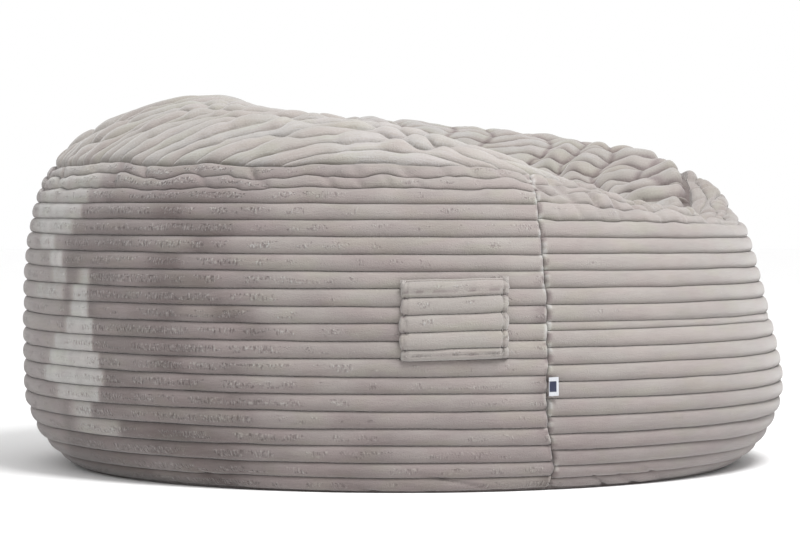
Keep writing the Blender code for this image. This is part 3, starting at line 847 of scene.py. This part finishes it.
def top_panel(seed):
    plan = TopMap()
    rib, place = rib_rows(TOP_RIBS, TOP_RIB_ROWS)
    width = (plan.high_y - plan.low_y) / TOP_RIBS
    middle = plan.low_y + (rib + (place + 1) / 2) * width

    x_rear, x_front = plan.ends(middle[:, 0])
    j = np.linspace(0, 1, 222)
    t = 0.8 * j + 0.2 * (1 - np.cos(math.pi * j)) / 2
    x = x_rear[:, None] + (x_front - x_rear)[:, None] * t[None, :]
    inside = plan.inside(x, middle + 0 * x)
    loose = ease(inside / 0.05)

    # Slack cloth buckles across the ribs. On the near side the grooves wander against each other, so
    # that the ribs swell and pinch like plaits. On the far side they bend together, in zigzags.
    def together(y):
        return ease((y + 0.05) / 0.16)

    def phase(k):
        y = plan.low_y + k * width
        warp = 0.050 * noise(x / 0.15, y / 0.11, seed) + 0.014 * noise(x / 0.06, y / 0.07, seed + 1)
        zigzag = 0.7 * np.abs((y / 0.12 + 0.7 * noise(x / 0.16, y / 0.3, seed + 2)) % 2 - 1)
        plait = (1 - together(y)) * 0.43 * k
        return (x + warp) / (0.126 - 0.038 * together(y)) + zigzag + plait

    # By the far front seam every other rib is squeezed shut, and those between swell.
    paired = ease((x - x_front[:, None] + 0.13) / 0.07) * ease((middle - 0.02) / 0.08)

    def groove(k):
        y = plan.low_y + k * width
        strength = 0.7 + 0.6 * noise(x / 0.11, y / 0.07, seed + 3)
        buckled = 0.0084 * strength * loose * np.sin(2 * math.pi * phase(k)) * (1 - 0.5 * paired)
        buckled = buckled + 0.0026 * loose * noise(x / 0.028, y / 0.028, seed + 9)
        buckled = buckled + 0.0026 * loose * noise(x / 0.017, y / 0.017, seed + 10)
        return buckled + paired * 0.38 * width * (-1.0) ** k

    near, far = groove(rib), groove(rib + 1)
    local = width + far - near
    y = middle + near + (place + 1) / 2 * (far - near)
    share = local / width

    strength = 0.7 + 0.5 * noise(x / 0.12, middle / 0.10, seed + 5)
    ridge = np.abs(np.sin(math.pi * (phase(rib + (place + 1) / 2) + 0.18))) ** 0.75
    joint = together(middle)
    buckle = loose * strength * (joint * 0.0135 * (ridge - 0.75) + (1 - joint) * 0.0045 * (share - 1.1))

    point, normal = plan.at(x, y)
    swell = 1 + 0.15 * noise(x / 0.06, rib * 6.1, seed + 4)
    plump = np.clip(share, 0.35, 1.35 + 0.9 * paired)
    out = RIB_HEIGHT * swell * plump * rib_profile(place) - GROOVE_DEPTH + buckle
    end_gap = 0.0025 + 0.0025 * noise(rib * 2.3, 5 + 3 * np.sign(x), seed + 6)
    end_gap = end_gap + 0.006 * paired * (1 + noise(rib * 1.7, 9, seed + 7))
    end_gap = end_gap + 0.020 * paired * (1 - rib_profile(place))
    out = out + 0.007 * paired * bell((inside - 0.022) / 0.015)
    # The liner lies LINER_DROP straight down, so the cloth dips less on the steep parts.
    out = np.maximum(out, -np.clip(LINER_DROP * normal[..., 2] - LINER_MARGIN, 0.0045, 0.0120))
    lobe = 0.014 + 0.006 * paired
    rounded = quarter_round((inside - end_gap) / lobe)
    out = -SEAM_DEPTH + (out + SEAM_DEPTH) * rounded
    point = point + normal * out[..., None]
    stroke = np.tanh(3 * noise(x / 0.08 + 5.1 * rib, rib * 3.9, seed + 20))
    # Painted light: the top panel's pile is painted lighter than the walls', standing in for the light
    # falling from above. Its strokes and mottling are the pile's own.
    shade = 0.625 + 0.02 * stroke + 0.03 * noise(x / 0.05, middle / 0.04, seed + 8)
    # Painted shade over the far side of the seat: darker in the grooves and in the buckles' folds, and
    # darker towards the front, where the inner wall faces away from the light. It is a little lighter at
    # the rear.
    far = ease((middle - 0.05) / 0.1)
    crease = (1 - rib_profile(place)) ** 2 + 0.8 * joint * ease((0.45 - ridge) / 0.45) * loose
    shade = shade + (0.03 - 0.06 * ease((x + 0.1) / 0.4) - 0.46 * crease) * far
    # Painted shade in the gaps between the swollen rib ends by the far front seam. The dome is also painted
    # a little darker towards its rear.
    shade = shade - 0.45 * paired * (1 - rounded) ** 1.5 - 0.05 * ease((-0.40 - x) / 0.15)
    pattern = {
        "shade": shade,
        "ruffle": np.full(x.shape, -0.20),
        "cloth": cloth_places(x, middle + 0 * x, rib, place),
    }
    return grid_object("top_panel", point, PLUSH, pattern)


# ---- pocket, label and stitching

POCKET_X = 0.0765
POCKET_Z = 0.2645
POCKET_WIDTH = 0.163
POCKET_HEIGHT = 0.121
POCKET_TILT = 0.03
POCKET_RIBS = (0.024, 0.026, 0.0265, 0.0265, 0.018)  # from the mouth down
POCKET_COLUMNS = 79
POCKET_SEAT = -0.003  # the patch's edges lie this far inside the wall's smooth skin
HEM_STITCH = 0.015
FOOT_STITCH = 0.009
SIDE_STITCH = 0.0095


def near_wall(x, z, out):
    """Points at these x and z on the pocket's side of the body, moved out from the smooth skin."""
    x, z, out = np.broadcast_arrays(x, z, out)
    angle = np.full(x.shape, 1.5 * math.pi)
    for _ in range(4):
        point, normal = SKIN.at(angle, SKIN.station(angle, z))
        angle = angle + (x - point[..., 0]) / HALF_LENGTH
    return point + normal * out[..., None]


def pocket_place(u, v, out):
    """A point over the pocket: u and v in metres from its middle, to the front and up."""
    return near_wall(POCKET_X + u, POCKET_Z + v + POCKET_TILT * u, out)


def make_pocket(seed):
    """The patch: ribs with scalloped, sewn-down sides and foot, and a rolled hem at its mouth."""
    half_w, half_h = POCKET_WIDTH / 2, POCKET_HEIGHT / 2
    closer_at_sides = half_w * np.sin(np.linspace(-1, 1, POCKET_COLUMNS) * math.pi / 2)
    even = np.linspace(-half_w, half_w, POCKET_COLUMNS)
    u = (0.55 * closer_at_sides + 0.45 * even)[None, :]
    edges = half_h - np.concatenate([[0], np.cumsum(POCKET_RIBS)])
    ribs = len(POCKET_RIBS)
    rib, place = rib_rows(ribs, RIB_ROWS)

    def wave(k):
        return 0.0010 * noise(u / 0.035, k * 3.1, seed)

    top, foot = edges[rib] + wave(rib), edges[rib + 1] + wave(rib + 1)
    v = top + (place + 1) / 2 * (foot - top)
    lean = 0.0135 - 0.0035 * (half_h - v) / POCKET_HEIGHT
    swell = 1 + 0.12 * noise(u / 0.04, rib * 3.3, seed + 1)
    wide = (top - foot) / RIB_PITCH
    out = lean + 0.0082 * wide * swell * rib_profile(place) + POCKET_SEAT

    # A line of stitches dents the hem rib and the foot rib.
    hem_line = bell((v - edges[0] + HEM_STITCH) / 0.0018)
    foot_line = bell((v - edges[-1] - FOOT_STITCH) / 0.0018)
    out = out - (0.0034 * hem_line + 0.0040 * foot_line) * (0.75 + 0.5 * noise(u / 0.010, 0.5, seed + 2))

    # The turned-in sides stand as a scalloped ridge beyond the line of stitches that holds them.
    edge = half_w - np.abs(u)
    held = 0.65 + 0.35 * np.sign(u) + 0.5 * noise(v / 0.006, np.sign(u), seed + 6)
    side_line = bell((edge - SIDE_STITCH) / 0.0016) * np.clip(held, 0, 1.3)
    out = out - 0.0052 * side_line - 0.0026 * ease((SIDE_STITCH - edge) / 0.004)
    lobe = 0.0048 + 0.0016 * noise(rib * 2.9, np.sign(u), seed + 3)
    side = quarter_round(edge / lobe)
    base = quarter_round((v - edges[-1]) / 0.007)
    out = POCKET_SEAT + (out - POCKET_SEAT) * side * base
    scallop = 0.0042 * rib_profile(place) - 0.0024 + 0.0016 * noise(rib * 5.5, np.sign(u), seed + 4)
    scallop = scallop + 0.0010 * noise(v / 0.004, np.sign(u), seed + 7)
    spread = u + np.sign(u) * scallop * (1 - np.clip(edge / 0.02, 0, 1))

    # The mouth's hem rolls over and runs down inside.
    turns = np.linspace(math.pi, 0, 7)[:-1][:, None]
    hem_radius = 0.0032
    hem_v = edges[0] + wave(0) + hem_radius * np.sin(turns)
    hem_out = (lean[:1] + POCKET_SEAT) - hem_radius + hem_radius * -np.cos(turns)
    hem_out = POCKET_SEAT + (hem_out - POCKET_SEAT) * side[:1]
    inner = np.array([0.030, 0.018, 0.006])[:, None]
    inner_v = edges[0] + wave(0) - inner
    inner_out = POCKET_SEAT + (lean[:1] - 2 * hem_radius) * side[:1] + 0 * inner
    hidden = len(inner) + len(turns)
    v_all = np.concatenate([inner_v + 0 * u, hem_v + 0 * u, v])[::-1]
    out_all = np.concatenate([inner_out, hem_out, out])[::-1]
    u_all = np.concatenate([np.repeat(spread[:1], hidden, 0), spread])[::-1]
    point = pocket_place(u_all, v_all, out_all)

    rib_all = np.concatenate([np.zeros((hidden, 1)), rib])[::-1]
    place_all = np.concatenate([-np.ones((hidden, 1)), place])[::-1]
    shade = 0.555 + 0.02 * noise(u / 0.03, rib_all * 4.7, seed + 5) + 0 * v_all
    rough_edge = (1 - ease(edge / 0.006)) * np.clip(1.5 * noise(v_all / 0.006, np.sign(u), seed + 8), -1, 1)
    shade = shade + 0.10 * rough_edge
    near_groove = ease((np.abs(place) - 0.62) / 0.3)
    ends = (1 - ease((edge - 0.004) / 0.010)) * near_groove * np.where(u < 0, 1.0, 0.55)
    specks = np.clip(0.35 + 1.6 * noise(v_all / 0.0026, u / 0.0026, seed + 9), 0, 1)
    plain = np.zeros((hidden, u.size))
    shade = shade - 0.45 * np.concatenate([plain, ends])[::-1] * specks
    dashes = (hem_line + 0.5 * foot_line) * ease((noise(u / 0.009, 0.5, seed + 10) + 0.15) / 0.2)
    shade = shade - 0.22 * np.concatenate([plain, dashes])[::-1]
    pattern = {
        "shade": shade,
        "ruffle": np.full(v_all.shape, -0.05),
        "cloth": cloth_places(u_all, v_all, 2 + rib_all, place_all),
    }
    return grid_object("patch_pocket", point, PLUSH, pattern)


def stitch_rows(lines, length, gap, radius, sides=6):
    """Stitches along lines of points: each a short rod that dips into the cloth at its two ends."""
    vertices, faces = [], []
    stations = (0.0, 0.12, 0.5, 0.88, 1.0)
    widths = (0.25, 0.9, 1.0, 0.9, 0.25)
    for line, normals in lines:
        run = np.concatenate([[0], np.cumsum(np.linalg.norm(np.diff(line, axis=0), axis=1))])
        for start in np.arange(gap / 2, run[-1] - length, length + gap):
            places = start + np.array(stations) * length
            centre = np.stack([np.interp(places, run, line[:, k]) for k in range(3)], 1)
            up = np.stack([np.interp(places, run, normals[:, k]) for k in range(3)], 1)
            up /= np.linalg.norm(up, axis=1, keepdims=True)
            along = centre[-1] - centre[0]
            along /= np.linalg.norm(along)
            side = np.cross(along, up)
            centre = centre - up * (radius * 1.3 * (1 - np.array(widths)))[:, None]
            first = len(vertices)
            for c, n, s, w in zip(centre, up, side, widths):
                for k in range(sides):
                    turn = 2 * math.pi * k / sides
                    vertices.append(c + radius * w * (math.cos(turn) * s + math.sin(turn) * n))
            for ring in range(len(stations) - 1):
                for k in range(sides):
                    a, b = first + ring * sides + k, first + ring * sides + (k + 1) % sides
                    faces.append((a, b, b + sides, a + sides))
            last = first + (len(stations) - 1) * sides
            faces.append(tuple(first + k for k in reversed(range(sides))))
            faces.append(tuple(last + k for k in range(sides)))
    return [tuple(v) for v in vertices], faces


def stitching(name, lines, length, gap, radius):
    vertices, faces = stitch_rows(lines, length, gap, radius)
    obj = mesh_object(name + "_stitches", vertices, faces, THREAD)
    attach(obj, "chair")
    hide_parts(name)
    return obj


def seam_line(angle, run, depth):
    """A line over the skin, this far below it."""
    station = SKIN.station(angle, run)
    point, normal = SKIN.at(angle, station)
    return point - normal * depth, normal


def pocket_line(u, v, out):
    point = pocket_place(u, v, out)
    return point, pocket_place(u, v, out + 0.01) - point


def make_stitching():
    for name, side in (("side_seam_thread_left", 1), ("side_seam_thread_right", -1)):
        run = np.linspace(0.012, SEAM_RUN - 0.01, 160)
        angle = np.full(run.shape, side * math.radians(SIDE_SEAM_DEG))
        angle = angle + side_seam_shift(angle, run, 0 * run)
        stitching(name, [seam_line(angle, run, 0.0062)], 0.0052, 0.0022, 0.0009)
    angle = np.linspace(0, 2 * math.pi, 900)
    stitching("rim_seam_thread", [seam_line(angle, seam_run(angle), 0.0068)], 0.0056, 0.0024, 0.0009)
    low = seam_line(angle, np.full(angle.shape, 0.0062), 0.0046)
    stitching("base_seam_thread", [low], 0.0056, 0.0024, 0.0009)

    half_w, half_h = POCKET_WIDTH / 2, POCKET_HEIGHT / 2
    across = np.linspace(-half_w + 0.006, half_w - 0.006, 60)
    down = np.linspace(half_h - 0.006, -half_h + 0.004, 50)
    lines = [
        pocket_line(across, half_h - HEM_STITCH, 0.0138),
        pocket_line(across, -half_h + FOOT_STITCH, 0.0102),
        pocket_line(-half_w + SIDE_STITCH, down, 0.0100),
        pocket_line(half_w - SIDE_STITCH, down, 0.0100),
    ]
    stitching("pocket_stitching", lines, 0.0042, 0.0020, 0.00065)
    for name, side in (("pocket_bar_tack_rear", -1), ("pocket_bar_tack_front", 1)):
        lines = []
        for k in range(9):
            u = side * (half_w - 0.004) + (k - 4) * 0.0010
            v = np.linspace(half_h - 0.009, half_h + 0.006, 12)
            lines.append(pocket_line(u, v, 0.0130 - 0.0035 * ((k - 4) / 4) ** 2))
        stitching(name, lines, 0.0130, 0.0008, 0.00075)


def make_label():
    """A folded tag that stands out of the seam: two faces joined by a fold at its front edge."""
    width, height, z = 0.0136, 0.0285, 0.162
    station = SKIN.station(np.array([-1.22]), np.array([z]))
    seam, _ = SKIN.at(np.array([-math.radians(SIDE_SEAM_DEG)]), station)
    rear_x = seam[0, 0] - 0.0010
    along = np.concatenate([np.linspace(0, 1, 15), np.linspace(1, 0, 15)])[None, :]
    face = np.concatenate([np.ones(15), -np.ones(15)])[None, :]
    v = np.linspace(-1, 1, 22)[:, None]
    thick = 0.0007 * np.sqrt(np.clip(1 - along**8, 0, 1)) + 0.0001
    lift = 0.0062 + 0.0030 * along + 0.0012 * np.sin(2.2 * along + 0.8 * v) * along
    out = lift + face * thick
    tilt = 0.06 * width * along
    point = near_wall(rear_x + width * along + 0 * v, z + v * height / 2 + tilt, out + 0 * v)
    inset = (np.abs(v) < 0.60) & (along > 0.03) & (along < 0.72) & (face > 0)
    cloth = np.stack(np.broadcast_arrays(along * width, v * height / 2, 0 * v * along), -1)
    pattern = {"shade": inset[:, ::-1] * 1.0, "cloth": cloth[:, ::-1]}
    obj = grid_object("label", point[:, ::-1], LABEL, pattern)
    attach(obj, "chair")
    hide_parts("woven_label")
    return obj


back = side_panel(
    "back_side_panel", SIDE_SEAM_DEG, 360 - SIDE_SEAM_DEG, 460, back_widths(), 0.0022, 0.442, 0.0, 11
)
front = side_panel(
    "front_side_panel", -SIDE_SEAM_DEG, SIDE_SEAM_DEG, 400, front_widths(), 0.0022, 0.405, 1.0, 41
)
top = top_panel(71)
pocket = make_pocket(91)

for piece, node in (
    (back, "cover_back_side_panel"),
    (front, "cover_front_side_panel"),
    (top, "cover_top_panel"),
    (pocket, "side_pocket"),
):
    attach(piece, "chair")
    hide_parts(node)

make_stitching()
label = make_label()
finish_cad_nodes()

# ---- stage, light and camera


CAMERA_PLACE = (-0.006, -5.10, 0.457)
CAMERA_DOWN_DEG = 1.386
CAMERA_LENS = 132.9


def make_stage():
    paper = Shader("pale_floor", 0.9)
    # Painted light: the floor is painted greyer near the chair, where the key light pools on it, and whiter
    # further off, where less light reaches, so that it looks evenly pale.
    away = paper.node("VectorMath", operation="LENGTH")
    paper.link(paper.place(), away.inputs["Vector"])
    painted_light_fade = paper.remap(away.outputs["Value"], 0.7, 2.6)
    paper.colour(paper.blend(painted_light_fade, (0.82, 0.82, 0.82), (0.985, 0.985, 0.985)))
    bpy.ops.mesh.primitive_plane_add(size=40, location=(0, 0, 0))
    floor = bpy.context.object
    floor.name = "studio_floor"
    floor.data.materials.append(paper.material)

    world = bpy.data.worlds.new("studio")
    world.use_nodes = True
    world.node_tree.nodes["Background"].inputs["Color"].default_value = (1, 1, 1, 1)
    world.node_tree.nodes["Background"].inputs["Strength"].default_value = 1.0
    bpy.context.scene.world = world


def soft_light(name, place, size, power, target=(0, 0, 0.25)):
    data = bpy.data.lights.new(name, "AREA")
    data.shape = "DISK"
    data.size = size
    data.energy = power
    light = bpy.data.objects.new(name, data)
    light.location = place
    light.rotation_euler = (Vector(target) - Vector(place)).to_track_quat("-Z", "Y").to_euler()
    bpy.context.scene.collection.objects.link(light)


def make_camera():
    data = bpy.data.cameras.new("camera")
    data.sensor_width = 36
    data.lens = CAMERA_LENS
    camera = bpy.data.objects.new("camera", data)
    camera.location = CAMERA_PLACE
    camera.rotation_euler = (math.radians(90 - CAMERA_DOWN_DEG), 0, 0)
    bpy.context.scene.collection.objects.link(camera)
    bpy.context.scene.camera = camera


make_stage()
soft_light("key", (1.2, -1.9, 3.3), 1.6, 170)
make_camera()
bpy.context.scene.view_settings.view_transform = "Standard"
